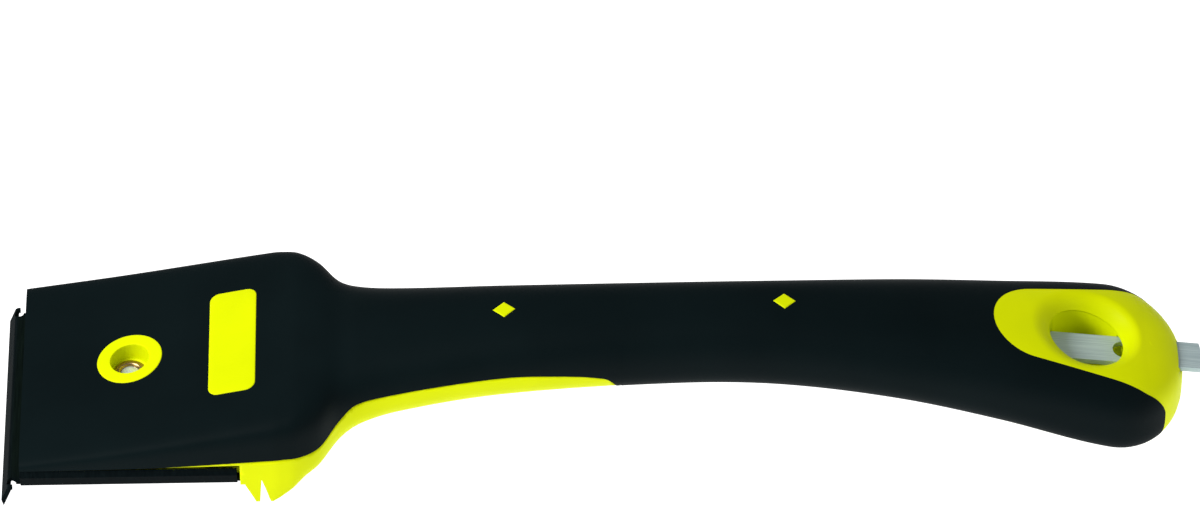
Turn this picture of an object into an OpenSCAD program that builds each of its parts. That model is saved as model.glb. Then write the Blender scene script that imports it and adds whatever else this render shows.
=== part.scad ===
// Four-edge scraper: a hard core with a soft grip moulded over it, a folded steel blade clamped
// under the head by one screw, and a steel file kept in a slot in the handle.
// X runs from the front cutting edge to the file's tip, Z is up from the surface that the tool lies
// on, and Y = 0 is the plane of symmetry. Everything is then moved so that X = 0 is its middle.

/* [Head] */
// Distance of the head's front behind the front cutting edge
head_x = 4.3; // [4:0.1:5]
// Width of the head at its front
head_front_w = 64.4; // [63.6:0.1:65]
// Height of the top face at the head's front
head_front_top = 15; // [14.4:0.1:15.6]
// Where the head ends and the shoulder starts
shoulder_x = 68; // [67.5:0.1:69]
// Width of the head at the shoulder
shoulder_w = 66; // [65.4:0.1:66.6]
// Height of the top face at the shoulder
shoulder_top = 27.9; // [27:0.1:29]
// Gap between the heel behind the blade and the surface that the tool lies on
heel_gap = 0.3; // [0.2:0.1:0.8]

/* [Handle] */
// Where the shoulder has run into the neck
neck_x = 90; // [89:0.5:91]
// Width of the neck
neck_w = 38.8; // [38:0.2:40]
// Height of the neck's top
neck_top = 31.6; // [31:0.1:32.2]
// Height of the neck's underside
neck_under = 9.3; // [8.8:0.1:9.8]
// Place of the waist, the slimmest stretch of the handle
waist_x = 172; // [165:1:180]
// Width at the waist
waist_w = 25.8; // [25:0.1:28]
// Height of the top at the waist
waist_top = 37.6; // [36.5:0.1:38.5]
// Height of the underside at the waist
waist_under = 15.5; // [14.5:0.1:16.5]
// Place of the widest section near the handle end
end_x = 279; // [276:0.5:281]
// Width of the handle end
end_w = 44.8; // [43:0.2:46]
// Height of the top at the handle end's widest section
end_top = 25.2; // [24.5:0.1:26]
// Length from the front cutting edge to the handle end
handle_l = 300.5; // [299:0.5:302]
// Thickness of the soft grip
skin_t = 2; // [1.6:0.1:2.4]

/* [Windows in the grip] */
// Outer diameter of the ring round the screw
ring_d = 16.7; // [16:0.1:18]
// Length of the badge along the tool
badge_l = 12; // [10:0.5:13]
// Width of the badge across the tool
badge_w = 35.8; // [30:0.2:38]
// Corner radius of the badge
badge_r = 2.6; // [1.5:0.1:4]
// Place of the badge's middle
badge_x = 58.1; // [57:0.1:58.5]
// Places of the two diamonds' middles
diamond_x = [127.2, 198.2]; // [120:0.2:205]
// Length and width of a diamond
diamond_size = [5.8, 5.4]; // [4:0.2:7]
// Radius of the end window's round front
end_window_r = 12.4; // [12:0.1:13]
// Width of the end window at the handle end
end_window_w = 35.2; // [34:0.2:36]

/* [Hanging hole] */
// Place of the hanging hole's middle
hang_x = 275.4; // [274.8:0.1:276]
// Diameter of the hanging hole
hang_d = 19.2; // [18.4:0.1:19.5]
// Height of the hole's edge at the hole's middle
hang_edge_z = 22.4; // [22:0.1:22.8]
// Slope of the hole's edge, down towards the handle end
hang_pitch = 19.7; // [18:0.1:20.5]
// Width of the dished rim round the hole
hang_rim_w = 4.8; // [4:0.1:5]

/* [Blade] */
// Distance across the folded blade, from lip to lip
blade_span = 65; // [64.5:0.1:65.5]
// Thickness of the steel
blade_t = 1.2; // [1:0.1:1.3]
// Height of the blade's top face, where the head sits on it
seat_z = 6.9; // [6.6:0.1:7.1]
// Angle of a lip to the plate
lip_angle = 69; // [67:0.5:72]
// Length of the front and rear lips
front_lip_l = 63.5; // [61:0.5:63.5]
// Length of the two side lips
side_lip_l = 54.8; // [50:0.2:55]
// Height of the ground bevel at each edge
bevel_h = 2; // [1.5:0.1:2.5]

/* [Clamp screw] */
// Diameter of the screw's shank
screw_d = 4.9; // [4.4:0.1:5]
// Height of the screw's rounded end in the recess
screw_end_z = 15.2; // [14.6:0.1:15.4]
// Diameter of the screw's head, under the blade
screw_head_d = 9.5; // [8.5:0.1:10]
// Height of the screw's head
screw_head_h = 2.6; // [2.2:0.1:2.8]
// Diameter of the washer under the blade
washer_d = 16; // [12:0.5:24]
// Thickness of the washer
washer_t = 1.2; // [1:0.1:1.3]
// Diameter of the recess in the top of the head
recess_d = 10.2; // [9.8:0.1:10.8]
// Height of the recess floor
recess_z = 15; // [14.5:0.1:15.2]
// Outer diameter of the threaded insert
insert_d = 8.7; // [8.2:0.1:9]
// Length of the threaded insert
insert_l = 6.4; // [5:0.1:7]

/* [File] */
// Width of the file bar
file_w = 9; // [8.6:0.1:9.4]
// Thickness of the file bar
file_t = 1.5; // [1.2:0.1:1.8]
// Length of the file bar
file_l = 96; // [80:1:100]
// How far the file's tip stands out of the handle end
file_out = 4.7; // [3:0.1:8]
// Height of the bar's top face at the hanging hole's middle
file_z = 19.2; // [19:0.1:19.6]
// Slope of the file bar, down towards the handle end
file_pitch = 7.9; // [7:0.1:8.5]
// Diameter of the hole near the bar's outer end
file_hole_d = 5.6; // [4.5:0.1:6]
// Distance of that hole's middle from the bar's tip
file_hole_in = 20.3; // [15:0.1:22]

/* [Hidden] */
$fn = 64;
tool_l = handle_l + file_out;
screw_x = 31.75;
gap = 0.4;
seat_gap = 0.3;
thread_gap = 0.05;
over = 10;

// Loft of the handle: points round a section, rings along each stretch, and the rounded end
sides = 36;
inner_sides = 24;
head_rings = 4;
shoulder_rings = 13;
neck_rings = 21;
cap_rings = 8;
cap_x = 281;
cap_full = 0.985;
inner_full = 0.8;
// Each station: x, half width, top, underside, and the powers of the top and underside rounding
stations = [
  [head_x, head_front_w / 2, head_front_top, heel_gap, 11, 14],
  [screw_x, (head_front_w + shoulder_w) / 4 + 0.1, 19.9, heel_gap, 10, 20],
  [shoulder_x, shoulder_w / 2, shoulder_top, heel_gap, 8, 40],
  [70.5, shoulder_w / 2 - 0.2, 28.5, 1.9, 7.3, 26],
  [74.7, 31.9, 29.5, 3.9, 6, 9],
  [80, 28.6, 30.1, 6.1, 4.2, 6],
  [85, 22.4, 30.4, 8.2, 3.2, 4.5],
  [neck_x, neck_w / 2, neck_top, neck_under, 2.8, 3.4],
  [100, 17.3, 33.1, 10.4, 2.6, 2.6],
  [127, 14.7, 35.8, 13.8, 2.5, 2.5],
  [waist_x, waist_w / 2, waist_top, waist_under, 2.5, 2.5],
  [198, 13.3, 37.4, 14.6, 2.5, 2.5],
  [228, 16.2, 35.1, 10.9, 2.5, 2.5],
  [253, 18.8, 30.9, 6, 3, 3],
  [end_x, end_w / 2, end_top, 0.2, 3.6, 3.6],
  [handle_l, 23, 20.7, -2.4, 3.2, 4]
];
// Lower edge of the grip: x and height, up to where it dips under the handle
grip_edge = [
  [head_x - over, 12.4], [head_x, 12.6], [39, 13.9], [60, 15.5], [70, 16.2], [80, 16], [85, 18.9], [89, 21.8],
  [97, 22.9], [110, 24.4], [128, 25.9], [138, 25.6], [151, 24], [154.5, 21.5], [157, 14]
];
edge_steps = 5;

// Folded blade
plate_low = seat_z - blade_t;
lip_out = [sin(lip_angle), cos(lip_angle)];
bevel_top = [blade_span / 2, bevel_h];
bevel_root = bevel_top - blade_t * lip_out;
bend = [bevel_root[0] - (plate_low - bevel_root[1]) / tan(lip_angle), plate_low];
lip_tip = [bevel_root[0] + bevel_root[1] / tan(lip_angle), 0];
bend_steps = 6;
lip_root = bend[0] - 0.3;
side_lip_top = plate_low + seat_z;
lip_roof = [side_lip_top + gap, side_lip_top + 5 * gap];
relief_r = 1.2;

// Heel behind the rear lip, and the cheeks that cover that lip's two ends
notch = [[63.9, seat_z + seat_gap], [65.4, 8.8], [66.6, 4.3], [67.2, 1.6]];
heel_x = 67.8;
cheek_in = front_lip_l / 2 + seat_gap;
cheek_x = [61.2, 63.75, 64.75, 65.4];
cheek_z = [6.9, 0.8];

// Dished rim of the hanging hole: points round it, and its rings as shares of its width
rim_sides = 48;
rim_rows = [0.12, 0.3, 0.5, 0.75, 1, 1.12];

// File slot
slot_w = file_w + 2 * gap;
slot_h = file_t + 2 * gap;

// Clamp screw and its insert
insert_proud = 0.4;
insert_top = recess_z + insert_proud;
insert_bevel = 0.45;
washer_low = plate_low - washer_t;
head_top = washer_low - seat_gap;

// Interpolation along x through rows of keys, column c, with a smooth curve through every row
function seek(k, x, i = 0) = i >= len(k) - 2 || x < k[i + 1][0] ? i : seek(k, x, i + 1);
function slope(k, c, i) =
  let (a = max(i - 1, 0), b = min(i + 1, len(k) - 1))
  (k[b][c] - k[a][c]) / (k[b][0] - k[a][0]);
function along(k, c, x) =
  let (
    i = seek(k, x),
    h = k[i + 1][0] - k[i][0],
    t = (x - k[i][0]) / h,
    s = t * t * (3 - 2 * t),
    a = t * (1 - t) * (1 - t),
    b = t * t * (t - 1)
  )
  k[i][c] * (1 - s) + k[i + 1][c] * s + h * (a * slope(k, c, i) + b * slope(k, c, i + 1));
function mix(a, b, t) = a + (b - a) * t;
function raise(v, p) = sign(v) * pow(abs(v), p);

// One closed section of the handle at x, drawn in by inset all round
function cap(x) = x <= cap_x ? 1 : sqrt(max(1 - pow((x - cap_x) / (handle_l - cap_x), 2), 0));
function section(x, inset, n) =
  let (
    w = along(stations, 1, x) * cap(x) - inset,
    top = along(stations, 2, x),
    under = along(stations, 3, x),
    mid = (top + under) / 2,
    h = (top - under) / 2 * sqrt(cap(x)) - inset,
    p = along(stations, 4, x),
    q = along(stations, 5, x)
  )
  [for (i = [0:n - 1])
    let (a = 360 * (i + 0.5) / n, e = 2 / (sin(a) > 0 ? p : q))
    [x, w * raise(cos(a), e), mid + h * raise(sin(a), e)]];
function rings(x0, full) = concat(
  [for (i = [0:head_rings - 1]) mix(x0, shoulder_x, i / head_rings)],
  [for (i = [0:shoulder_rings - 1]) mix(shoulder_x, neck_x, i / shoulder_rings)],
  [for (i = [0:neck_rings - 1]) mix(neck_x, cap_x, i / neck_rings)],
  [for (i = [0:cap_rings]) cap_x + (handle_l - cap_x) * full * sin(90 * i / cap_rings)]
);

// Height of the top face over the plan point x, y
function top_at(x, y) =
  let (
    w = along(stations, 1, x) * cap(x),
    top = along(stations, 2, x),
    under = along(stations, 3, x),
    h = (top - under) / 2 * sqrt(cap(x)),
    p = along(stations, 4, x)
  )
  (top + under) / 2 + h * pow(max(1 - pow(abs(y) / w, p), 0), 1 / p);

// Plan point of the hanging hole's rim at angle a, out from the hole's wall by d
function rim_point(a, d) = [hang_x + (hang_d / 2 + d) * cos(a), (hang_d / 2 + d) * sin(a)];
// Height of the plane of the hole's edge at a plan point
function edge_plane(q) = hang_edge_z - (q[0] - hang_x) * tan(hang_pitch);
// Ring of the dished rim at share s of its width: the top face less a drop that ends at s = 1
function rim_ring(s) =
  [for (i = [0:rim_sides - 1])
    let (
      a = 360 * i / rim_sides,
      e = rim_point(a, 0),
      q = rim_point(a, hang_rim_w * s),
      drop = top_at(e[0], e[1]) - edge_plane(e)
    )
    [q[0], q[1], top_at(q[0], q[1]) - drop * (1 - s) * (1 - 0.6 * s)]];

// Closed solid through rows of points
module loft(rows) {
  n = len(rows[0]);
  m = len(rows);
  walls = [for (r = [0:m - 2], i = [0:n - 1])
    let (j = (i + 1) % n, a = r * n + i, b = r * n + j, c = a + n, d = b + n)
    each [[a, c, b], [b, c, d]]];
  front = [for (i = [0:n - 1]) i];
  back = [for (i = [n - 1:-1:0]) (m - 1) * n + i];
  polyhedron([for (r = rows) each r], concat(walls, [front, back]));
}

module whole_form() {
  loft([for (x = rings(head_x, cap_full)) section(x, 0, sides)]);
}

module inner_form() {
  loft([for (x = rings(head_x + skin_t, inner_full)) section(x, skin_t, inner_sides)]);
}

// Side view area extruded right across the tool
module across() {
  rotate([90, 0, 0])
    linear_extrude(height = 2 * shoulder_w, center = true)
      children();
}

// Where the core shows under the grip's lower edge
module underside() {
  last = len(grip_edge) - 2;
  line = [for (i = [0:last], s = [0:edge_steps - 1])
    let (x = mix(grip_edge[i][0], grip_edge[i + 1][0], s / edge_steps))
    [x, along(grip_edge, 1, x)]];
  across()
    polygon(concat(line, [grip_edge[last + 1], [grip_edge[last + 1][0], -over], [head_x - over, -over]]));
}

module rounded_plate(l, w, r) {
  square([l, w - 2 * r], center = true);
  square([l - 2 * r, w], center = true);
  for (x = [-1, 1], y = [-1, 1])
    translate([x * (l / 2 - r), y * (w / 2 - r)])
      circle(r);
}

module upwards(z) {
  translate([0, 0, z])
    linear_extrude(height = 3 * over)
      children();
}

// The windows of the grip that the core fills
module windows() {
  translate([screw_x, 0, 0])
    upwards(seat_z)
      circle(d = ring_d);
  translate([badge_x, 0, 0])
    upwards(shoulder_top - over)
      rounded_plate(badge_l, badge_w, badge_r);
  for (x = diamond_x)
    translate([x, 0, 0])
      upwards(waist_top - over)
        scale(diamond_size / 2)
          polygon([[1, 0], [0, 1], [-1, 0], [0, -1]]);
  end_window();
}

module end_window() {
  round_x = hang_x - end_window_r + 0.8;
  half = end_window_w / 2;
  tail = [[11.5, 0], [8.5, 0.15], [6.9, 0.55], [5.7, 1.4], [-over, 1.4]];
  edge = concat(
    [[round_x - 2.5, end_window_r - 0.26]],
    [for (t = tail) [handle_l - t[0], half - t[1]]]
  );
  translate([0, 0, -over])
    linear_extrude(height = 6 * over) {
      translate([round_x, 0])
        circle(end_window_r);
      polygon(concat(edge, [for (i = [len(edge) - 1:-1:0]) [edge[i][0], -edge[i][1]]]));
    }
}

// Room for the blade under the head, with its side lips and the notch before the heel
module blade_room() {
  roof = seat_z + seat_gap;
  inner = bend[0] - blade_t - gap;
  rise = lip_roof[1] - seat_z;
  difference() {
    across()
      polygon(concat([[-over, -over], [-over, roof]], notch, [[heel_x, 0], [heel_x, -over]]));
    cheeks();
  }
  intersection() {
    for (side = [-1, 1])
      translate([screw_x, 0, 0])
        rotate([90, 0, 90])
          linear_extrude(height = side_lip_l + 4 * gap, center = true)
            polygon([
              [side * inner, 0], [side * inner, seat_z],
              [side * (inner + rise / tan(lip_angle)), seat_z + rise],
              [side * shoulder_w, seat_z + rise], [side * shoulder_w, 0]
            ]);
    across()
      polygon([[0, -over], [0, lip_roof[0]], [2 * screw_x, lip_roof[1]], [2 * screw_x, -over]]);
  }
}

// Thin teeth of the core, one on each side, that hang down beside the rear lip's ends
module cheeks() {
  for (side = [-1, 1])
    translate([0, side * (cheek_in + over / 2), 0])
      rotate([90, 0, 0])
        linear_extrude(height = over, center = true)
          polygon([
            [cheek_x[0], over], [cheek_x[0], cheek_z[0]], [cheek_x[1], cheek_z[1]],
            [cheek_x[2], cheek_z[1]], [cheek_x[3], over]
          ]);
}

module below_ground() {
  translate([-over, -shoulder_w, -2 * over])
    cube([handle_l + 2 * over, 2 * shoulder_w, 2 * over]);
}

// Hanging hole: a straight wall with a sharp edge, in a rim dished into the sloping top
module hanging_hole() {
  angles = [for (i = [0:rim_sides - 1]) 360 * i / rim_sides];
  low = [for (a = angles) let (q = rim_point(a, -0.6)) [q[0], q[1], edge_plane(q) - 0.8]];
  high = [for (a = angles) concat(rim_point(a, hang_rim_w * rim_rows[len(rim_rows) - 1]), [4 * over])];
  translate([hang_x, 0, -over])
    cylinder(h = 6 * over, d = hang_d);
  loft(concat([low], [for (s = rim_rows) rim_ring(s)], [high]));
}

// Places children on the file's line: x towards its tip, z = 0 at its top face, origin at the tip
module file_line() {
  tip_z = file_z - (tool_l - hang_x) * tan(file_pitch);
  translate([tool_l, 0, tip_z])
    rotate([0, file_pitch, 0])
      children();
}

module file_slot() {
  file_line()
    translate([-file_l - 2 * gap, -slot_w / 2, -file_t - gap])
      cube([file_l + over, slot_w, slot_h]);
}

// Recess in the top, pocket for the threaded insert, and way for the screw from below
module screw_way() {
  translate([screw_x, 0, 0]) {
    translate([0, 0, recess_z])
      cylinder(h = 3 * over, d = recess_d);
    translate([0, 0, insert_top - insert_l])
      cylinder(h = insert_l, d = insert_d);
    cylinder(h = over, d = screw_d + 2 * gap);
  }
}

module centred() {
  translate([-tool_l / 2, 0, 0])
    children();
}

module core_body() {
  color([0.93, 0.93, 0.02])
    centred()
      difference() {
        union() {
          inner_form();
          intersection() {
            whole_form();
            union() {
              underside();
              windows();
            }
          }
        }
        blade_room();
        below_ground();
        hanging_hole();
        file_slot();
        screw_way();
      }
}

module soft_grip() {
  color([0.06, 0.09, 0.1])
    centred()
      difference() {
        whole_form();
        inner_form();
        underside();
        windows();
        blade_room();
        below_ground();
      }
}

// Cross-section of the plate's rim and one lip bent down, from lip_root outwards
module lip_section() {
  bow = [for (i = [0:bend_steps]) mix(90 - lip_angle, 90, i / bend_steps)];
  polygon(concat(
    [[lip_root, plate_low], bend, lip_tip, bevel_top],
    [for (a = bow) bend + blade_t * [cos(a), sin(a)]],
    [[lip_root, seat_z]]
  ));
}

module lip(l) {
  rotate([90, 0, 0])
    linear_extrude(height = l, center = true)
      lip_section();
}

module blade() {
  flat = 2 * bend[0];
  color([0.13, 0.14, 0.15])
    centred()
      translate([screw_x, 0, 0])
        difference() {
          union() {
            translate([-flat / 2, -flat / 2, plate_low])
              cube([flat, flat, blade_t]);
            for (turn = [0, 180])
              rotate([0, 0, turn])
                lip(front_lip_l);
            for (turn = [90, 270])
              rotate([0, 0, turn])
                translate([0, 0, side_lip_top])
                  mirror([0, 0, 1])
                    lip(side_lip_l);
          }
          cylinder(h = 2 * over, d = screw_d + 2 * gap);
          for (x = [-1, 1], y = [-1, 1])
            translate([x * bend[0], y * bend[0], plate_low - gap])
              cylinder(h = blade_t + 2 * gap, r = relief_r);
        }
}

// Round solid on the screw's axis from a profile of radius and height
module turned() {
  centred()
    translate([screw_x, 0, 0])
      rotate_extrude()
        children();
}

module thread_insert() {
  r = insert_d / 2;
  bore = screw_d / 2 + thread_gap;
  low = insert_top - insert_l;
  color([0.66, 0.53, 0.33])
    turned()
      polygon([
        [bore, low], [r, low], [r, insert_top - insert_bevel], [r - insert_bevel, insert_top],
        [bore + insert_bevel, insert_top], [bore, insert_top - insert_bevel]
      ]);
}

module clamp_washer() {
  bore = screw_d / 2 + gap;
  color([0.6, 0.62, 0.64])
    turned()
      translate([bore, washer_low])
        square([washer_d / 2 - bore, washer_t]);
}

// Circle through the rim of a cap of radius r and height h
function cap_radius(r, h) = (r * r + h * h) / (2 * h);

// Half section of a rounded cap that stands on z = 0
module cap_section(r, h) {
  big = cap_radius(r, h);
  intersection() {
    square([r, h]);
    translate([0, h - big])
      circle(big);
  }
}

module clamp_screw() {
  r = screw_d / 2;
  end_h = 0.5;
  rim_h = 0.9;
  drive = [5, 1.1, 1.5];
  color([0.8, 0.81, 0.82])
    difference() {
      turned() {
        translate([0, head_top - rim_h])
          square([r, screw_end_z - end_h - head_top + rim_h]);
        translate([0, screw_end_z - end_h])
          cap_section(r, end_h);
        translate([0, head_top - rim_h])
          square([screw_head_d / 2, rim_h]);
        translate([0, head_top - rim_h])
          mirror([0, 1])
            cap_section(screw_head_d / 2, screw_head_h - rim_h);
      }
      centred()
        for (turn = [0, 90])
          translate([screw_x, 0, head_top - screw_head_h + drive[2] / 2])
            rotate([0, 0, turn])
              cube([drive[0], drive[1], drive[2] + thread_gap], center = true);
    }
}

module file_bar() {
  tip_r = 26;
  reach = sqrt(tip_r * tip_r - file_w * file_w / 4);
  color([0.62, 0.66, 0.68])
    centred()
      file_line()
        translate([0, 0, -file_t])
          linear_extrude(height = file_t)
            difference() {
              union() {
                translate([-file_l, -file_w / 2])
                  square([file_l - tip_r + reach, file_w]);
                intersection() {
                  translate([-tip_r, 0])
                    circle(tip_r);
                  translate([-tip_r, -file_w / 2])
                    square([tip_r, file_w]);
                }
              }
              translate([-file_hole_in, 0])
                circle(d = file_hole_d);
            }
}

core_body();
soft_grip();
thread_insert();
blade();
clamp_washer();
clamp_screw();
file_bar();
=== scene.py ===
import bmesh
import bpy
import numpy as np
from mathutils import Matrix, Vector


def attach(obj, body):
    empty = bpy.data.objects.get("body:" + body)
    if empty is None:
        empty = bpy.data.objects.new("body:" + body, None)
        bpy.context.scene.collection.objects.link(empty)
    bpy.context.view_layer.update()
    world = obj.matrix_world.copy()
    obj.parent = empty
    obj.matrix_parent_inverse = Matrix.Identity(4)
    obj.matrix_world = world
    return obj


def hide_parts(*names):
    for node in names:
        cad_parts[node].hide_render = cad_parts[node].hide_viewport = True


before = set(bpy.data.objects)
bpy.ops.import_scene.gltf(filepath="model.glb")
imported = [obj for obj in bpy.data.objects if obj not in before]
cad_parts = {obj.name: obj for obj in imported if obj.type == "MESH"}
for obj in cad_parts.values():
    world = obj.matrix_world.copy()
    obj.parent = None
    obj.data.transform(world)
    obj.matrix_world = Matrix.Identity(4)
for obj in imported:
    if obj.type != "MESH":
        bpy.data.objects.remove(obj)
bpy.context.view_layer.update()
mm = 0.001


# small helpers

weld = {"merge": 0.002, "collapse": 0.001}      # doubles and needle edges closer than this, in mm


def linearColor(code):
    # sRGB hex to linear: v / 12.92 below 0.04045, else ((v + 0.055) / 1.055) ^ 2.4
    v = np.array([int(code[i:i + 2], 16) for i in (1, 3, 5)]) / 255.0
    v = np.where(v <= 0.04045, v / 12.92, ((v + 0.055) / 1.055) ** 2.4)
    return (*[float(c) for c in v], 1.0)


def feed(tree, node, feeds):
    # fills a node's sockets with values or with other nodes' outputs
    for socket, value in feeds.items():
        if isinstance(value, bpy.types.NodeSocket):
            tree.links.new(value, node.inputs[socket])
        else:
            node.inputs[socket].default_value = value


def addNode(tree, kind, feeds=None, **settings):
    # one node with its settings and links
    node = tree.nodes.new(kind)
    for name, value in settings.items():
        setattr(node, name, value)
    feed(tree, node, feeds or {})
    return node


def newMaterial(name):
    # a node material: its tree, its shader and the piece's own coordinates
    mat = bpy.data.materials.new(name)
    mat.use_nodes = True
    tree = mat.node_tree
    place = addNode(tree, "ShaderNodeTexCoord").outputs["Object"]
    return mat, tree, tree.nodes["Principled BSDF"], place


def meshPiece(name, verts, faces, material, replaced=()):
    # verts in millimetres from the tool's front line, moved to the frame's middle
    mesh = bpy.data.meshes.new(name)
    pts = (verts - np.array([tool["length"] / 2, 0.0, 0.0])) * mm
    mesh.from_pydata(pts.tolist(), [], faces.tolist())
    mesh.materials.append(material)
    piece = bpy.data.objects.new(name, mesh)
    bpy.context.collection.objects.link(piece)
    finishPiece(piece, "handle", replaced)
    return piece


def finishPiece(piece, body, replaced):
    # welded and smooth, on its body, in place of the solids it replaces
    mesh = piece.data
    work = bmesh.new()
    work.from_mesh(mesh)
    bmesh.ops.remove_doubles(work, verts=work.verts, dist=weld["merge"] * mm)
    bmesh.ops.dissolve_degenerate(work, edges=work.edges, dist=weld["collapse"] * mm)
    work.to_mesh(mesh)
    work.free()
    mesh.polygons.foreach_set("use_smooth", np.ones(len(mesh.polygons), bool))
    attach(piece, body)
    for node in replaced:
        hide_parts(node)


def gridFaces(rows, cols, closeCols=False):
    # quads of a grid of rows x cols points, with the last column joined to the first where asked
    i, j = np.meshgrid(np.arange(rows - 1), np.arange(cols if closeCols else cols - 1), indexing="ij")
    i2, j2 = i + 1, (j + 1) % cols
    quads = [i * cols + j, i2 * cols + j, i2 * cols + j2, i * cols + j2]
    return np.stack(quads, -1).reshape(-1, 4)


def roundEdges(piece, width, angle):
    # edges sharper than angle get a small round of two faces
    bevel = piece.modifiers.new("rounded edges", "BEVEL")
    bevel.width = width * mm
    bevel.segments = 2
    bevel.limit_method = "ANGLE"
    bevel.angle_limit = np.radians(angle)
    bevel.harden_normals = True


def solidCopy(node, name, material, slot, body, sharpAngle, edge=0):
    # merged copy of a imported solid, smooth except at edges sharper than sharpAngle
    piece = bpy.data.objects.new(name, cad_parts[node].data.copy())
    bpy.context.collection.objects.link(piece)
    piece.data.materials.clear()
    piece.data.materials.append(material)
    finishPiece(piece, body, [node])
    piece.data.set_sharp_from_angle(angle=np.radians(sharpAngle))
    if edge:
        roundEdges(piece, edge, sharpAngle)
        flat = piece.modifiers.new("flat faces", "WEIGHTED_NORMAL")
        flat.keep_sharp = True
    return piece


# the tool's form: the same stations as the solids, in millimetres from the tool's front line,
# which lies just behind the front cutting edge

tool = {
    "length": 305.2,
    "handleEnd": 300.5,
    "capStart": 281.0,
    "widest": 33.0,
    # x, half width, top, underside, power of the top rounding, power of the underside rounding
    "stations": np.array([
        [4.3, 32.2, 15, 0.3, 11, 14], [31.75, 32.7, 19.9, 0.3, 10, 20], [68, 33, 27.9, 0.3, 8, 40],
        [70.5, 32.8, 28.5, 1.9, 7.3, 26], [74.7, 31.9, 29.5, 3.9, 6, 9], [80, 28.6, 30.1, 6.1, 4.2, 6],
        [85, 22.4, 30.4, 8.2, 3.2, 4.5], [90, 19.4, 31.6, 9.3, 2.8, 3.4], [100, 17.3, 33.1, 10.4, 2.6, 2.6],
        [127, 14.7, 35.8, 13.8, 2.5, 2.5], [172, 12.9, 37.6, 15.5, 2.5, 2.5],
        [198, 13.3, 37.4, 14.6, 2.5, 2.5], [228, 16.2, 35.1, 10.9, 2.5, 2.5], [253, 18.8, 30.9, 6, 3, 3],
        [279, 22.4, 25.2, 0.2, 3.6, 3.6], [300.5, 23, 20.7, -2.4, 3.2, 4]]),
}


def along(keys, column, x):
    # smooth curve through the keys: cubic pieces whose slope at a key joins its two neighbours
    k, v = keys[:, 0], keys[:, column]
    slope = np.empty(len(k))
    slope[1:-1] = (v[2:] - v[:-2]) / (k[2:] - k[:-2])
    slope[0] = (v[1] - v[0]) / (k[1] - k[0])
    slope[-1] = (v[-1] - v[-2]) / (k[-1] - k[-2])
    i = np.clip(np.searchsorted(k, x, side="right") - 1, 0, len(k) - 2)
    h = k[i + 1] - k[i]
    t = (x - k[i]) / h
    s = t * t * (3 - 2 * t)
    turn = t * (1 - t) ** 2 * slope[i] + t * t * (t - 1) * slope[i + 1]
    return v[i] * (1 - s) + v[i + 1] * s + h * turn


def sectionAt(x):
    # half width, middle height, half height and the two powers of the section at x
    st = tool["stations"]
    part = np.clip((x - tool["capStart"]) / (tool["handleEnd"] - tool["capStart"]), 0, 1)
    cap = np.sqrt(1 - part ** 2)
    top, under = along(st, 2, x), along(st, 3, x)
    wide = np.minimum(along(st, 1, x), tool["widest"])      # no wider than the solids' widest section
    return (wide * cap, (top + under) / 2, (top - under) / 2 * np.sqrt(cap),
            along(st, 4, x), along(st, 5, x))


def skinPoint(x, f, grow):
    # rounded-box section in direction f: its cos and sin, reached out until |y|^n + |z|^n is one
    w, mid, h, p, q = sectionAt(x)
    n = np.where(np.sin(f) > 0, p, q)
    c, s = np.cos(f), np.sin(f)
    reach = (np.abs(c) ** n + np.abs(s) ** n) ** (-1 / n)
    z = np.maximum(mid + (h + grow) * reach * s, 0.0)
    return np.stack([x + 0 * f, (w + grow) * reach * c, z], -1)


def skinDirections(x, f0, f1, count):
    # directions from f0 to f1 within one half of the section, the mean of an even spread
    # and of one that is gathered at the corners
    w, mid, h, p, q = sectionAt(x)
    u = np.linspace(0, 1, count)[None]
    power = lambda v, n: np.sign(v) * np.abs(v) ** n
    turned = lambda f: np.arctan2(power(np.sin(f), np.where(np.sin(f) > 0, p, q) / 2),
                                  np.abs(np.cos(f)) ** (np.where(np.sin(f) > 0, p, q) / 2))
    a = turned(f0)[:, None] + u * (turned(f1) - turned(f0))[:, None]
    n = np.where(np.sin(a) > 0, p[:, None], q[:, None])
    gathered = np.arctan2(power(np.sin(a), 2 / n), np.abs(np.cos(a)) ** (2 / n))
    even = f0[:, None] + u * (f1 - f0)[:, None]
    return (even + gathered) / 2


def topAt(x, y, sink=0.0):
    # height of the upper surface over the plan point x, y, or of a surface that lies sink below it
    w, mid, h, p, q = sectionAt(x)
    return mid + (h - sink) * np.maximum(1 - np.abs(y / (w - sink)) ** p, 0) ** (1 / p)


# the screw's recess and the file, whose axes two of the finishes follow

screw = {"x": 31.75, "recess": 10.2, "floor": 15.0}
fileBar = {
    "pitch": 7.9,
    "smoothEnd": 43.0,      # plain stretch at the tip, then teeth up to the plain inner end
    "innerEnd": 6.0,
    "tooth": 1.3,
    "steep": 0.3,           # share of a tooth from its crest to its valley
    "depth": 0.22,
    "cutAngle": 25,
    "edgeRound": 0.1,
    "edgeAngle": 70,        # the teeth's own crests stay sharp
}


# materials: sizes in millimetres, each tint as a place on the ramp and a colour; grain, lines and rings
# are drawn coarser than the real ones, which are too fine to show

def paint(tree, shader, finish, tintBy, roughBy):
    # colour between two tints by one pattern; roughness and relief by another
    tint = addNode(tree, "ShaderNodeValToRGB", {"Fac": tintBy})
    for stop, (spot, code) in zip(tint.color_ramp.elements, finish["tint"]):
        stop.position = spot
        stop.color = linearColor(code)
    low, high = finish["rough"]
    rough = addNode(tree, "ShaderNodeMapRange", {"Value": roughBy, "To Min": low, "To Max": high})
    feed(tree, shader, {"Base Color": tint.outputs["Color"], "Roughness": rough.outputs["Result"]})
    if "bump" in finish:
        strength, depth = finish["bump"]
        relief = {"Height": roughBy, "Strength": strength, "Distance": depth * mm}
        feed(tree, shader, {"Normal": addNode(tree, "ShaderNodeBump", relief).outputs["Normal"]})
    feed(tree, shader, finish["sockets"])


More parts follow.
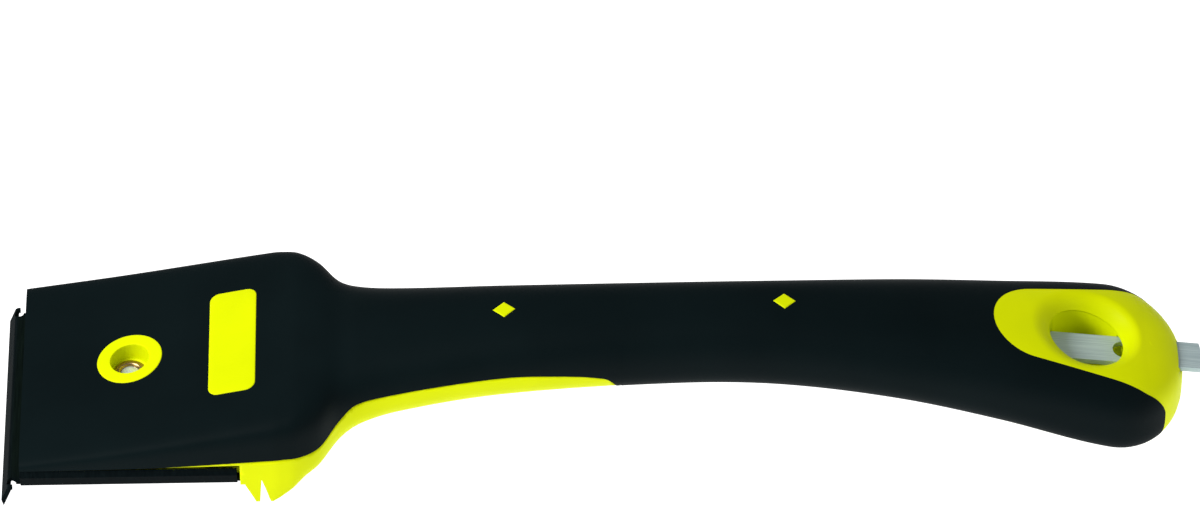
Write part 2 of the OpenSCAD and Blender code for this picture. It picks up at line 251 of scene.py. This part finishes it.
# injection-moulded ABS: strong even yellow, satin, faintly grainy
absFinish = {
    "tint": ((0.3, "#DCE900"), (0.7, "#E6F100")),
    "cloud": (22, 3.0),     # size and detail of the tint's drift, then of the grain
    "grain": (0.5, 2.0),
    "rough": (0.4, 0.54),
    "bump": (0.12, 0.03),   # strength and depth
    "sockets": {"IOR": 1.53, "Specular IOR Level": 0.04},
}
# overmoulded soft rubber, fine matt texture: cool black with broad weak highlights
tpeFinish = {
    "tint": ((0.3, "#081214"), (0.7, "#0B1618")),
    "cloud": (30, 4.0),
    "grain": (0.45, 3.0),
    "rough": (0.5, 0.64),
    "bump": (0.2, 0.04),
    "sockets": {"IOR": 1.45, "Specular IOR Level": 0.035},
}


def mouldedPlastic(name, finish):
    # moulded against a textured tool: a broad drift of tint under an even fine grain
    mat, tree, shader, place = newMaterial(name)
    noise = {}
    for kind in ("cloud", "grain"):
        size, detail = finish[kind]
        spots = {"Vector": place, "Scale": 1 / (size * mm), "Detail": detail}
        noise[kind] = addNode(tree, "ShaderNodeTexNoise", spots).outputs["Fac"]
    paint(tree, shader, finish, noise["cloud"], noise["grain"])
    return mat


bladeFinish = {
    "tint": ((0.35, "#070D0F"), (0.7, "#0D1517")),
    "lines": (0.35, 9, 2),      # size of a line along x, y and z
    "detail": 3.0,
    "rough": (0.5, 0.64),
    "bump": (0.1, 0.02),
    "sockets": {"Specular IOR Level": 0.006},
}


def blackedSteel():
    # hardened blade steel under a black oxide layer that hides the bare metal: near black, with fine
    # rolling lines
    mat, tree, shader, place = newMaterial("black_oxide_blade_steel")
    stretch = [1 / (size * mm) for size in bladeFinish["lines"]]
    lines = addNode(tree, "ShaderNodeMapping", {"Vector": place, "Scale": stretch}).outputs["Vector"]
    spots = {"Vector": lines, "Scale": 1.0, "Detail": bladeFinish["detail"]}
    grain = addNode(tree, "ShaderNodeTexNoise", spots).outputs["Fac"]
    paint(tree, shader, bladeFinish, grain, grain)
    return mat


brassFinish = {
    "tint": ((0.0, "#9C7F55"), (1.0, "#B89A6C")),
    "rings": 1.2,           # the wave has a ring each 0.31 of this
    "waver": 0.6,
    "rough": (0.26, 0.36),
    "sockets": {"Metallic": 1.0},
}


def turnedBrass():
    # turned brass, slightly dulled: warm pale bronze with fine tool rings round the screw's axis
    mat, tree, shader, place = newMaterial("turned_brass")
    shift = ((tool["length"] / 2 - screw["x"]) * mm, 0, 0)
    centre = addNode(tree, "ShaderNodeMapping", {"Vector": place, "Location": shift}).outputs["Vector"]
    wave = {"Vector": centre, "Scale": 1 / (brassFinish["rings"] * mm), "Distortion": brassFinish["waver"]}
    rings = addNode(tree, "ShaderNodeTexWave", wave, wave_type="RINGS", rings_direction="Z").outputs["Fac"]
    paint(tree, shader, brassFinish, rings, rings)
    return mat


zincFinish = {
    "tint": ((0.0, "#CDD8E0"), (1.0, "#F2F7FA")),
    "cloud": (1.6, 3.0),
    "rough": (0.22, 0.36),
    "sockets": {"Metallic": 0.4},
}


def zincPlated():
    # bright zinc plating over steel: cool silver, a little cloudy
    mat, tree, shader, place = newMaterial("zinc_plated_steel")
    size, detail = zincFinish["cloud"]
    spots = {"Vector": place, "Scale": 1 / (size * mm), "Detail": detail}
    cloud = addNode(tree, "ShaderNodeTexNoise", spots).outputs["Fac"]
    paint(tree, shader, zincFinish, cloud, cloud)
    return mat


fileFinish = {
    "tint": ((0.3, "#A4B9BD"), (0.7, "#C9DADB")),
    "lines": (14, 0.3, 3),
    "detail": 4.0,
    "rough": (0.34, 0.5),
    "sockets": {"Metallic": 0.25},
}


def groundFileSteel():
    # hardened file steel: blue-grey, ground along its length
    mat, tree, shader, place = newMaterial("ground_file_steel")
    level = (0, -np.radians(fileBar["pitch"]), 0)
    flat = addNode(tree, "ShaderNodeMapping", {"Vector": place, "Rotation": level}).outputs["Vector"]
    stretch = [1 / (size * mm) for size in fileFinish["lines"]]
    lines = addNode(tree, "ShaderNodeMapping", {"Vector": flat, "Scale": stretch}).outputs["Vector"]
    spots = {"Vector": lines, "Scale": 1.0, "Detail": fileFinish["detail"]}
    grind = addNode(tree, "ShaderNodeTexNoise", spots).outputs["Fac"]
    paint(tree, shader, fileFinish, grind, grind)
    return mat


yellowAbs = mouldedPlastic("moulded_abs_yellow", absFinish)
blackTpe = mouldedPlastic("overmoulded_tpe_black", tpeFinish)
bladeSteel = blackedSteel()
insertBrass = turnedBrass()
zincSteel = zincPlated()
fileSteel = groundFileSteel()
print("materials:", len(bpy.data.materials))


# soft grip: a skin over the loft, open below its lower edge and round the end window

grip = {
    "proud": -0.04,         # keeps the smooth skin inside the solids' own box
    "thickness": 1.1,
    "edgeRound": 0.2,
    "edgeAngle": 50,
    "across": 71,           # points from the lower edge to the middle line, and across each side strip
    "stripAcross": 61,
    "wideCells": 3,         # the cells next to the middle line, and the points that divide them again
    "topPoints": 18,
    # stretches along the tool: from, to and step, finest where the form or its edge turns
    "stretches": (
        (tool["stations"][0, 0], 22, 1.5), (22, 42, 0.6), (42, 59.5, 1.5), (60.5, 66, 1.0),
        (66, 92, 0.7), (92, 150, 1.6), (150, 157.4, 0.25), (157.4, 250, 2.0)),
    "frontRings": (1.0, 0.97, 0.85, 0.6, 0.3, 0.0),
    "windowFront": 251.4,
    "windowMiddle": 263.8,
    "windowRadius": 12.3,
    "seam": 0.1,            # the strips start this far behind the window's front
    "roundRows": 16,
    "stripStep": 1.5,
    "stripGap": 0.5,        # the straight rows stop this far before the bend
    # half width of the window behind its round front, and the rounded rear corner of each side strip
    "windowSide": np.array([[261.3, 12.04], [289, 17.5]]),
    "cornerEnd": 295.1,
    "cornerPowers": (1.9, 4.0),
    "cornerRows": 40,
    "cornerTurn": 1.55,     # just short of a quarter turn, so that the corner keeps a little width
    "recessGap": 6.9,       # radius of the opening under the screw ring
    # room over the side lips: where it ends, and the lower edge's height at the front line and at x = 63.5,
    # a little lower at the front than the solid's, where the gap showed yellow
    "lipRoom": (59.95, 12.57, 14.62, 63.5),
    # lower edge: x and height
    "edge": np.array([
        [-5.7, 12.4], [4.3, 12.6], [39, 13.9], [60, 15.5], [70, 16.2], [80, 16], [85, 18.9], [89, 21.8],
        [97, 22.9], [110, 24.4], [128, 25.9], [138, 25.6], [151, 24], [154.5, 21.5], [157, 14]]),
}


def edgeDirection(x):
    # section direction where the skin is as high as the lower edge, straight down once the edge is under it
    w, mid, h, p, q = sectionAt(x)
    edgeEnd = grip["edge"][-1, 0]
    z = np.where(x < edgeEnd, along(grip["edge"], 1, np.minimum(x, edgeEnd)), -np.inf)
    xEnd, zFront, zBack, span = grip["lipRoom"]
    z = np.where(x < xEnd, np.maximum(z, zFront + (zBack - zFront) * x / span), z)
    s = np.clip((z - mid) / h, -1, 1)
    n = np.where(s > 0, p, q)
    return np.arctan2(s, (1 - np.abs(s) ** n) ** (1 / n))


def windowHalf(x):
    # half width of the end window: a round front, then straight flaring sides
    r, xc, side = grip["windowRadius"], grip["windowMiddle"], grip["windowSide"]
    bow = np.sqrt(np.maximum(r * r - (x - xc) ** 2, 0))
    return np.where(x < side[0, 0], bow, np.interp(x, side[:, 0], side[:, 1]))


def sideDirection(x, power):
    # section direction, up from the widest line, where the window's side lies on the skin
    w = sectionAt(x)[0]
    n = sectionAt(x)[power]
    share = np.clip(windowHalf(x) / w, 0, 1)
    return np.arctan2((1 - share ** n) ** (1 / n), share)


def stripEdge(xs, power, n):
    # the side's direction, run on past the bend and drawn in to nothing in a rounded corner
    bend, end = grip["windowSide"][-1, 0], grip["cornerEnd"]
    past = np.maximum(xs - bend, 0)
    left = past / (end - bend)
    back = 0.5              # the slope at the bend is taken over this stretch before it
    slope = (sideDirection(bend, power) - sideDirection(bend - back, power)) / back
    run = sideDirection(xs - past, power) + slope * past * (1 - left) ** 2
    return run * (1 - left ** n) ** (1 / n)


def gripRows():
    # rows along the tool up to the window, each from one lower edge over the top to the other
    xEnd, tiny = grip["lipRoom"][0], 0.01       # the lower edge steps down between these two rows
    xs = [np.arange(*stretch) for stretch in grip["stretches"]]
    xs = np.sort(np.concatenate(xs + [[xEnd - tiny, xEnd + tiny, grip["windowFront"] + grip["seam"]]]))
    turns = skinDirections(xs, edgeDirection(xs), np.full(len(xs), np.pi / 2), grip["across"])
    wide = grip["wideCells"]
    top = turns[:, -1 - wide:-wide]
    again = top + (np.pi / 2 - top) * np.linspace(0, 1, grip["topPoints"])
    turns = np.concatenate([turns[:, :-1 - wide], again], 1)
    turns = np.concatenate([turns, np.pi - turns[:, -2::-1]], 1)
    return skinPoint(xs[:, None] + 0 * turns, turns, grip["proud"])


def frontWall(ring):
    # front wall of the head: the first ring drawn in to the middle of its lowest line
    depth = np.array(grip["frontRings"])[:, None, None]
    centre = np.stack([ring[:, 0], 0 * ring[:, 1], np.full(len(ring), ring[:, 2].min())], -1)
    return centre[None] + depth * (ring - centre)[None]


def sideStrips():
    # two strips beside the window: rows round its front, along its sides and into the rear corners
    t = np.linspace(0, np.pi / 2, grip["roundRows"])
    xRound = grip["windowMiddle"] - (grip["windowMiddle"] - grip["windowFront"]) * np.cos(t)
    bend, end = grip["windowSide"][-1, 0], grip["cornerEnd"]
    xStraight = np.arange(xRound[-1], bend - grip["stripGap"], grip["stripStep"])
    xCorner = bend + (end - bend) * np.sin(np.linspace(0, grip["cornerTurn"], grip["cornerRows"]))
    xs = np.concatenate([xRound[:-1] + grip["seam"], xStraight, xCorner])
    topPower, underPower = grip["cornerPowers"]
    high, low = stripEdge(xs, 3, topPower), -stripEdge(xs, 4, underPower)
    turns = skinDirections(xs, high, low, grip["stripAcross"])
    gridX = xs[:, None] + 0 * turns
    return skinPoint(gridX, np.pi - turns, grip["proud"]), skinPoint(gridX, turns, grip["proud"])


def gripSkin():
    # the grids joined to one skin, opened under the screw ring, then given its thickness inwards
    main = gripRows()
    farStrip, nearStrip = sideStrips()
    verts, faces, count = [], [], 0
    for pts, flip in ((main, False), (frontWall(main[0]), True), (farStrip, True), (nearStrip, False)):
        quads = gridFaces(*pts.shape[:2]) + count
        faces.append(quads[:, ::-1] if flip else quads)
        verts.append(pts.reshape(-1, 3))
        count += len(verts[-1])
    piece = meshPiece("grip_skin", np.concatenate(verts), np.concatenate(faces), blackTpe,
                      ["soft_grip"])
    work = bmesh.new()
    work.from_mesh(piece.data)
    bmesh.ops.recalc_face_normals(work, faces=work.faces)
    axis = Vector(((screw["x"] - tool["length"] / 2) * mm, 0, 0))
    under = [f for f in work.faces if (f.calc_center_median() - axis).xy.length < grip["recessGap"] * mm]
    bmesh.ops.delete(work, geom=under, context="FACES")     # the screw ring covers this opening
    work.to_mesh(piece.data)
    work.free()
    wall = piece.modifiers.new("skin thickness", "SOLIDIFY")
    wall.thickness = grip["thickness"] * mm
    wall.offset = -1
    roundEdges(piece, grip["edgeRound"], grip["edgeAngle"])
    return piece


gripPiece = gripSkin()
print("grip:", len(gripPiece.data.polygons), "faces")


# hard core and the metal pieces

core = {
    "sharp": 28,
    "edge": 2.2,            # longest edge left on the outer form, and on the dished rim
    "rimEdge": 0.9,
    "rounds": 6,
    "merge": 0.05,
    "reach": 0.35,          # points this near the true section lie on it
    "span": (4.4, 299.5),   # but not the front wall, the last of the cap and the underside on the ground
    "ground": 0.02,
    "capGap": 0.2,          # the section is taken no nearer to the handle's end, where it has no width
    "under": 0.15,          # depth below the true section, then the depth under the end face
    "faceUnder": 0.45,
    "faceStart": 250.0,
    "faceEnd": (288.0, 290.0),
    "plugUnder": 0.7,       # the window faces cover the tops of these plugs
    "plugEnd": 215.0,
    "plugHeight": 3.0,
}
hangingHole = {
    "x": 275.4,
    "radius": 9.6,
    "edge": 22.4,           # height of the hole's edge at its middle, and the edge's fall to the rear
    "slope": np.tan(np.radians(19.7)),
    "rim": 4.8,             # width of the dished rim
    "reach": 0.6,           # points this near the rim's height lie on it
    "slack": 0.05,          # and those this far inside the hole's edge
    "rimSpan": (250, 299),
}


def rimHeight(x, y, sink=0.0):
    # top face less the rim's drop: the depth of the hole's edge below the top,
    # falling with the square of the distance left
    dx = x - hangingHole["x"]
    r = np.maximum(np.hypot(dx, y), 0.001)
    xe, ye = dx / r * hangingHole["radius"], y / r * hangingHole["radius"]
    depth = topAt(hangingHole["x"] + xe, ye) - (hangingHole["edge"] - hangingHole["slope"] * xe)
    left = 1 - np.clip((r - hangingHole["radius"]) / hangingHole["rim"], 0, 1)
    return topAt(x, y, sink) - depth * left ** 2, r - hangingHole["radius"]


def onSkin(pts):
    # each point's distance from the middle line in shares of the section there: whether it lies on the
    # outer form, and where it belongs
    x = pts[:, 0]
    w, mid, h, p, q = sectionAt(np.clip(x, tool["stations"][0, 0], tool["handleEnd"] - core["capGap"]))
    y, z = pts[:, 1] / w, (pts[:, 2] - mid) / h
    n = np.where(z > 0, p, q)
    share = (np.abs(y) ** n + np.abs(z) ** n) ** (1 / n)
    first, last = core["span"]
    near = np.abs(share - 1) * np.minimum(w, h) < core["reach"]
    near &= (pts[:, 2] > core["ground"]) & (x > first) & (x < last)
    plug = (x < core["plugEnd"]) & (pts[:, 2] > mid + h - core["plugHeight"])
    covered = (x > core["faceStart"]) & (z > 0)
    runOut = 1 - np.interp(x, core["faceEnd"], (0, 1))
    face = core["under"] + (core["faceUnder"] - core["under"]) * runOut
    sink = np.where(plug, core["plugUnder"], np.where(covered, face, core["under"]))
    side = np.where(plug, pts[:, 1], y / share * (w - sink))
    moved = np.stack([x, side, mid + z / share * (h - sink)], -1)
    # the dished rim has its own height
    high, out = rimHeight(np.clip(x, *hangingHole["rimSpan"]), pts[:, 1])
    rim = (out > -hangingHole["slack"]) & (out < hangingHole["rim"])
    rim &= np.abs(pts[:, 2] - high) < hangingHole["reach"]
    moved[rim] = np.stack([x, pts[:, 1], high - sink], -1)[rim]
    return near | rim, moved, rim


def coreMoulding():
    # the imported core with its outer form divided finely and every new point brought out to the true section
    piece = solidCopy("core_body", "core_moulding", yellowAbs, "yellow_plastic", "handle", core["sharp"])
    mesh = piece.data
    half = np.array([tool["length"] / 2, 0, 0])
    work = bmesh.new()
    work.from_mesh(mesh)
    bmesh.ops.remove_doubles(work, verts=work.verts, dist=core["merge"] * mm)
    bmesh.ops.dissolve_degenerate(work, edges=work.edges, dist=core["merge"] / 2 * mm)
    bmesh.ops.triangulate(work, faces=work.faces)
    work.to_mesh(mesh)
    work.free()
    for step in range(core["rounds"]):
        pts = np.empty(len(mesh.vertices) * 3)
        mesh.vertices.foreach_get("co", pts)
        near, moved, rim = onSkin(pts.reshape(-1, 3) / mm + half)
        pts = np.where(near[:, None], (moved - half) * mm, pts.reshape(-1, 3))
        mesh.vertices.foreach_set("co", pts.ravel())
        ends = np.empty(len(mesh.edges) * 2, int)
        mesh.edges.foreach_get("vertices", ends)
        ends = ends.reshape(-1, 2)
        limit = np.where(rim[ends].any(1), core["rimEdge"], core["edge"]) * mm
        long = near[ends].all(1) & (np.linalg.norm(pts[ends[:, 0]] - pts[ends[:, 1]], axis=1) > limit)
        if step == core["rounds"] - 1 or not long.any():
            break
        work = bmesh.new()
        work.from_mesh(mesh)
        work.edges.ensure_lookup_table()
        bmesh.ops.subdivide_edges(work, edges=[work.edges[i] for i in np.flatnonzero(long)], cuts=1)
        bmesh.ops.triangulate(work, faces=work.faces)
        work.to_mesh(mesh)
        work.free()
    mesh.polygons.foreach_set("use_smooth", np.ones(len(mesh.polygons), bool))
    mesh.set_sharp_from_angle(angle=np.radians(core["sharp"]))
    return piece


def cutTeeth(piece):
    # slanting teeth across both faces of the bar: a crest line and a valley line each,
    # the valley lines pressed in
    pitch, slant = np.radians(fileBar["pitch"]), np.radians(fileBar["cutAngle"])
    ahead = Vector((np.cos(pitch), 0, -np.sin(pitch)))
    upward = Vector((np.sin(pitch), 0, np.cos(pitch)))
    across = ahead * np.cos(slant) + Vector((0, 1, 0)) * np.sin(slant)
    work = bmesh.new()
    work.from_mesh(piece.data)
    lengthwise = [v.co.dot(ahead) for v in work.verts]
    heights = [v.co.dot(upward) for v in work.verts]
    middle = (max(heights) + min(heights)) / 2
    span = (max(lengthwise) - min(lengthwise)) / mm - fileBar["innerEnd"]
    valleys = []
    for back in np.arange(fileBar["smoothEnd"], span, fileBar["tooth"]):
        for step in (0, fileBar["steep"] * fileBar["tooth"]):
            spot = ahead * (max(lengthwise) - (back + step) * mm)
            whole = work.verts[:] + work.edges[:] + work.faces[:]
            line = bmesh.ops.bisect_plane(work, geom=whole, dist=weld["collapse"] * mm,
                                          plane_co=spot, plane_no=across)["geom_cut"]
            if step:
                valleys += [v for v in line if isinstance(v, bmesh.types.BMVert)]
    for v in valleys:
        v.co -= upward * fileBar["depth"] * mm * np.sign(v.co.dot(upward) - middle)
    work.to_mesh(piece.data)
    work.free()
    piece.data.polygons.foreach_set("use_smooth", np.zeros(len(piece.data.polygons), bool))
    roundEdges(piece, fileBar["edgeRound"], fileBar["edgeAngle"])


corePiece = coreMoulding()
print("core:", len(corePiece.data.polygons), "faces")

# solid, piece, material, slot, body, angle past which an edge is sharp, and the edge's round in mm
metalPieces = (
    ("blade", "folded_blade", bladeSteel, "black_blade_steel", "blade_set", 25, 0.12),
    ("thread_insert", "brass_insert", insertBrass, "insert_brass", "handle", 30, 0.1),
    ("clamp_washer", "steel_washer", zincSteel, "plated_steel", "blade_set", 30, 0.12),
    ("clamp_screw", "pan_screw", zincSteel, "plated_steel", "screw", 30, 0.08),
)
for row in metalPieces:
    solidCopy(*row)
cutTeeth(solidCopy("file_bar", "file_blade", fileSteel, "file_steel", "file", 30))
print("solids dressed")


# windows: yellow faces that show through the skin, each over its own outline

windows = {
    "proud": 0.16,
    "edgeRound": 0.3,
    "skirt": 0.8,           # depth of the hidden edge below the skin
    "badge": (58.1, 12.0, 35.8, 2.6),       # x, length, width and corner radius
    "diamonds": (127.2, 198.2),
    "diamondSize": (5.8, 5.4),
}


def roundedOutline(l, w, r, n=14):
    # closed outline of a rounded rectangle: four quarter arcs joined by straight sides
    a = np.linspace(0, np.pi / 2, n)
    quarter = np.stack([np.cos(a), np.sin(a)], -1) * r
    corner = np.array([l / 2 - r, w / 2 - r])
    out = []
    for k, side in enumerate(([1, 1], [-1, 1], [-1, -1], [1, -1])):
        c, s = np.cos(k * np.pi / 2), np.sin(k * np.pi / 2)
        out.append(corner * np.array(side) + quarter @ np.array([[c, s], [-s, c]]))
    return np.concatenate(out)


def diamondOutline(l, w, n=8):
    # closed outline of a diamond: its four corners joined by straight sides of n points each
    corners = np.array([[l / 2, 0], [0, w / 2], [-l / 2, 0], [0, -w / 2], [l / 2, 0]])
    t = np.linspace(0, 4, 4 * n + 1)[:-1]
    return np.stack([np.interp(t, np.arange(5), corners[:, c]) for c in (0, 1)], -1)


def edgeRows(proud, r):
    # rounded edge as rows of share of the outline, inset from it and height over the skin:
    # a short skirt below the skin, a quarter turn, then the face
    a = np.radians([0, 30, 60, 90])
    rows = [(1.0, 0.0, -windows["skirt"])]
    rows += [(1.0, r * (1 - np.cos(t)), proud - r * (1 - np.sin(t))) for t in a]
    return np.array(rows + [(s, r, proud) for s in (0.8, 0.6, 0.4, 0.2, 0.0)])


def windowFace(name, x0, outline):
    # the edge's rows carried round the outline, on the tool's upper surface
    step = np.roll(outline, -1, 0) - np.roll(outline, 1, 0)
    inward = np.stack([-step[:, 1], step[:, 0]], -1)
    inward /= np.linalg.norm(inward, axis=1)[:, None]
    rows = edgeRows(windows["proud"], windows["edgeRound"])
    plan = rows[:, 0, None, None] * (outline[None] + rows[:, 1, None, None] * inward[None])
    gridX, gridY = x0 + plan[..., 0], plan[..., 1]
    pts = np.stack([gridX, gridY, topAt(gridX, gridY) + rows[:, 2, None]], -1)
    faces = gridFaces(len(rows), len(outline), closeCols=True)[:, ::-1]
    meshPiece(name, pts.reshape(-1, 3), faces, yellowAbs)


badgeX, *badgeSize = windows["badge"]
windowFace("badge_plate", badgeX, roundedOutline(*badgeSize))
for name, x in zip(("diamond_front", "diamond_rear"), windows["diamonds"]):
    windowFace(name, x, diamondOutline(*windows["diamondSize"]))


recessRing = {
    "outer": 16.7,
    "slack": 0.12,          # the ring's wall stands this far inside the recess
    "rim": 0.18,
    "sides": 96,
    "turnPoints": 5,        # points of each rounded edge, and of the flat between them
    "flatPoints": 5,
    "wall": (0.0, 0.5, 0.8),        # rows of the wall, as shares of its height
}


def screwRing():
    # ring round the recess: the recess wall, a rounded rim, the flat, and a rounded outer edge
    a = np.linspace(0, 2 * np.pi, recessRing["sides"] + 1)[:-1]
    inner, outer = screw["recess"] / 2 - recessRing["slack"], recessRing["outer"] / 2
    p, r, rim = windows["proud"], windows["edgeRound"], recessRing["rim"]
    q = np.linspace(0, np.pi / 2, recessRing["turnPoints"])
    flat = np.linspace(inner + rim, outer - r, recessRing["flatPoints"])[1:-1]
    wall = len(recessRing["wall"])
    radius = np.concatenate([np.full(wall, inner), inner + rim * (1 - np.cos(q)), flat,
                             outer - r * (1 - np.sin(q)), [outer]])
    lift = np.concatenate([np.zeros(wall), p - rim * (1 - np.sin(q)), np.full(len(flat), p),
                           p - r * (1 - np.cos(q)), [-windows["skirt"]]])
    gridR, gridA = np.meshgrid(radius, a, indexing="ij")
    gridX, gridY = screw["x"] + gridR * np.cos(gridA), gridR * np.sin(gridA)
    gridZ = topAt(gridX, gridY) + lift[:, None]
    height = np.array(recessRing["wall"])[:, None]
    gridZ[:wall] = screw["floor"] + height * (gridZ[wall] - screw["floor"])
    pts = np.stack([gridX, gridY, gridZ], -1)
    faces = gridFaces(len(radius), len(a), closeCols=True)
    meshPiece("screw_ring", pts.reshape(-1, 3), faces, yellowAbs)


screwRing()


endWindow = {
    "inset": 0.05,
    "tuck": 1.0,            # how far the face runs on under the skin
    "end": 292.0,
    "sink": 0.1,
    "runOut": 0.1,
    "runOutLength": 3.0,
    "wall": 0.6,
    "wallRows": ((1, 0.1), (0.7, 0.03), (0.35, 0.0)),       # share of the wall's depth, and how far out
    "sides": 192,
    "sharp": 40,
    "search": (32, 0.02),   # the border is looked for out to here, in these steps
    "rimShare": 0.3,        # rows are closer over this first share of the face, then wider
    "rimRows": 14,
    "faceRows": 20,
}


def endFace():
    # yellow face of the handle end: rows from the hole's wall over its sharp edge and dished rim
    # to under the skin
    a = np.linspace(0, 2 * np.pi, endWindow["sides"] + 1)[:-1]
    r0 = hangingHole["radius"] - endWindow["inset"]
    reach = np.arange(r0, *endWindow["search"])[:, None]
    x, y = hangingHole["x"] + reach * np.cos(a), reach * np.sin(a)
    inside = (x > grip["windowFront"]) & (np.abs(y) < windowHalf(x)) & (x < endWindow["end"])
    border = reach[np.argmin(inside, 0), 0] + endWindow["tuck"]
    rear = (endWindow["end"] - hangingHole["x"]) / np.maximum(np.cos(a), 0.01)
    border = np.minimum(border, rear)
    turn = endWindow["rimShare"]
    share = np.concatenate([np.linspace(0, turn, endWindow["rimRows"])[:-1],
                            np.linspace(turn, 1, endWindow["faceRows"])])
    gridR = r0 + (border - r0) * share[:, None]
    gridX, gridY = hangingHole["x"] + gridR * np.cos(a), gridR * np.sin(a)
    fade = np.interp(gridX, (endWindow["end"] - endWindow["runOutLength"], endWindow["end"]), (0, 1))
    sink = endWindow["sink"] + endWindow["runOut"] * fade
    top = np.stack([gridX, gridY, rimHeight(gridX, gridY, sink)[0]], -1)
    edge = top[0]
    deep, out = np.array(endWindow["wallRows"]).T[:, :, None]
    wall = np.stack([edge[:, 0] + out * np.cos(a), edge[:, 1] + out * np.sin(a),
                     edge[:, 2] - endWindow["wall"] * deep], -1)
    pts = np.concatenate([wall, top])
    faces = gridFaces(len(pts), len(a), closeCols=True)
    piece = meshPiece("end_face", pts.reshape(-1, 3), faces, yellowAbs)
    piece.data.set_sharp_from_angle(angle=np.radians(endWindow["sharp"]))


endFace()
print("windows done")


# floor, light and camera

studio = {
    "floor": "#606060",
    "floorRough": 0.9,
    "floorHalf": 6.0,       # half side of the table and its drop below the tool, in metres
    "floorDrop": 0.0002,
    "floorGlow": 1.3,       # a lit table: the paper stays white under the tool
    "paintedShadowDisc": (10.0, 12.5),       # painted shadow: no glow in a disc under the handle end, which stands on the paper, so that the hanging hole stays dark; glow rises between these radii in mm
    "sky": 0.3,
    # lamps: place in metres, size, power
    "key": ((-0.75, -0.25, 0.8), 0.4, 11.4),
    "fill": ((1.3, -0.5, 0.8), 0.8, 2.5),
    "lampAim": (0, 0, 0.02),
    # camera: distance, aim and offset in millimetres
    "distance": 1900.0,
    "pixelsPerMm": 3.92,
    "imageWidth": 1200,
    "sensor": 36.0,
    "farthest": 20.0,
    "azimuth": 1.2,
    "elevation": 45.0,
    "aim": (-0.6, 0.0, 16.0),
    "aimOffset": (0.51, -27.42),    # where the aim falls from the picture's middle, right and up
}


def buildFloor():
    # matt paper on a lit table: an even glow keeps it white, except for a painted shadow under the hanging
    # hole, a disc without glow that keeps the hole dark
    floorMesh = bpy.data.meshes.new("studio_floor")
    s, z = studio["floorHalf"], -studio["floorDrop"]
    floorMesh.from_pydata([(-s, -s, z), (s, -s, z), (s, s, z), (-s, s, z)], [], [(0, 1, 2, 3)])
    floor = bpy.data.objects.new("studio_floor", floorMesh)
    bpy.context.collection.objects.link(floor)
    mat, tree, shader, place = newMaterial("studio_paper")
    under = ((hangingHole["x"] - tool["length"] / 2) * mm, 0, 0)
    # painted shadow: the glow fades to nothing near the hanging hole's axis, so that no light comes up into
    # the hole
    away = addNode(tree, "ShaderNodeVectorMath", {0: place, 1: under}, operation="DISTANCE")
    dark, lit = studio["paintedShadowDisc"]
    glow = addNode(tree, "ShaderNodeMapRange",
                   {"Value": away.outputs["Value"], "From Min": dark * mm, "From Max": lit * mm,
                    "To Max": studio["floorGlow"]})
    feed(tree, shader, {"Base Color": linearColor(studio["floor"]), "Roughness": studio["floorRough"],
                        "Specular IOR Level": 0.0, "Emission Color": (1, 1, 1, 1),
                        "Emission Strength": glow.outputs["Result"]})
    floorMesh.materials.append(mat)


def buildLights():
    # an even white sky and two soft lamps
    world = bpy.data.worlds.new("studio")
    bpy.context.scene.world = world
    world.use_nodes = True
    sky = {"Color": (1, 1, 1, 1), "Strength": studio["sky"]}
    feed(world.node_tree, world.node_tree.nodes["Background"], sky)
    # the photo's full yellow is outside the filmic range
    bpy.context.scene.view_settings.view_transform = "Standard"
    for name in ("key", "fill"):
        place, size, power = studio[name]
        light = bpy.data.lights.new(name, "AREA")
        light.size = size
        light.energy = power
        lamp = bpy.data.objects.new(name, light)
        bpy.context.collection.objects.link(lamp)
        lamp.location = place
        aim = Vector(studio["lampAim"]) - Vector(place)
        lamp.rotation_euler = aim.to_track_quat("-Z", "Y").to_euler()


def placeCamera():
    # stands back from the aim along the view, moved so that the aim falls where the photo has it
    az, el = np.radians(studio["azimuth"]), np.radians(studio["elevation"])
    look = np.array([np.sin(az) * np.cos(el), np.cos(az) * np.cos(el), -np.sin(el)])
    right = np.array([np.cos(az), -np.sin(az), 0.0])
    up = np.cross(right, look)
    ox, oy = studio["aimOffset"]
    spot = np.array(studio["aim"]) - ox * right - oy * up - studio["distance"] * look
    data = bpy.data.cameras.new("photo_camera")
    data.sensor_width = studio["sensor"]
    data.lens = studio["sensor"] * studio["pixelsPerMm"] * studio["distance"] / studio["imageWidth"]
    data.clip_end = studio["farthest"]
    camera = bpy.data.objects.new("photo_camera", data)
    bpy.context.collection.objects.link(camera)
    turn = Matrix([right, up, -look]).transposed()
    camera.matrix_world = Matrix.Translation(spot * mm) @ turn.to_4x4()
    bpy.context.scene.camera = camera


buildFloor()
buildLights()
placeCamera()
print("studio done")

bpy.context.view_layer.update()
